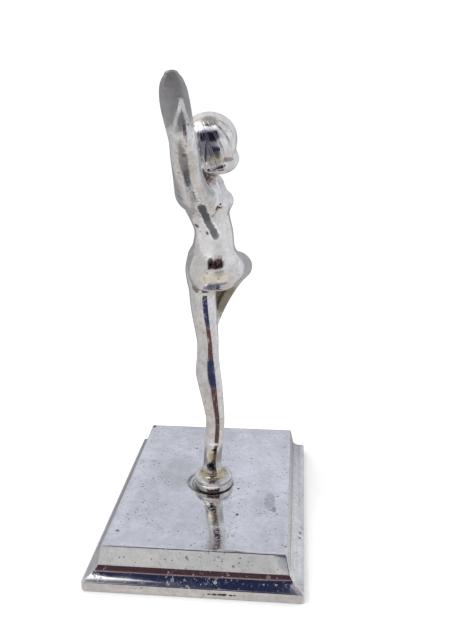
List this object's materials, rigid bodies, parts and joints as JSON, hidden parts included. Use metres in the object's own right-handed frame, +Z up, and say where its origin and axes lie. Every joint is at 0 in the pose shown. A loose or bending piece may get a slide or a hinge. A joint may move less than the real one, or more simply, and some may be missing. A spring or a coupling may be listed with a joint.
{
  "type": "car mascot on display base",
  "caption": "Chromed dancer on pointe with raised arms and one bent leg, clamped by a threaded stud to a stepped rectangular display base.",
  "frame": {"origin": "centre of the base's underside, on the surface that it stands on", "axes": "+Z up; +X the way the dancer faces, across the base; +Y along the base's long side, to the dancer's left"},
  "size_m": [0.0856, 0.1126, 0.1886],
  "materials": {
    "chrome_figure": "old polished chromium plate with a few corrosion pits",
    "chrome_base": "old polished chromium plate, specked and slightly dull",
    "steel": "zinc plated",
    "brass": "bright",
    "board": "bare hardboard",
    "baize": "napped felt",
    "fibre": "vulcanised fibre"
  },
  "bodies": {
    "base": {"base_casting": "chrome_base", "bottom_board": "board", "board_screws": "brass", "baize_pad": "baize", "seat_washer": "fibre"},
    "mascot": {"foot_disc": "chrome_figure", "mounting_stud": "steel", "clamp_washer": "steel", "lock_washer": "steel", "clamp_nut": "steel", "figure_body": "chrome_figure", "raised_leg": "chrome_figure", "right_arm": "chrome_figure", "left_arm": "chrome_figure"}
  },
  "joints": [
    {"name": "mascot_swivel", "type": "hinge", "parent": "base", "child": "mascot", "pos_m": [0.0024, -0.0034, 0.0168], "axis": [0, 0, 1], "continuous": true}
  ]
}
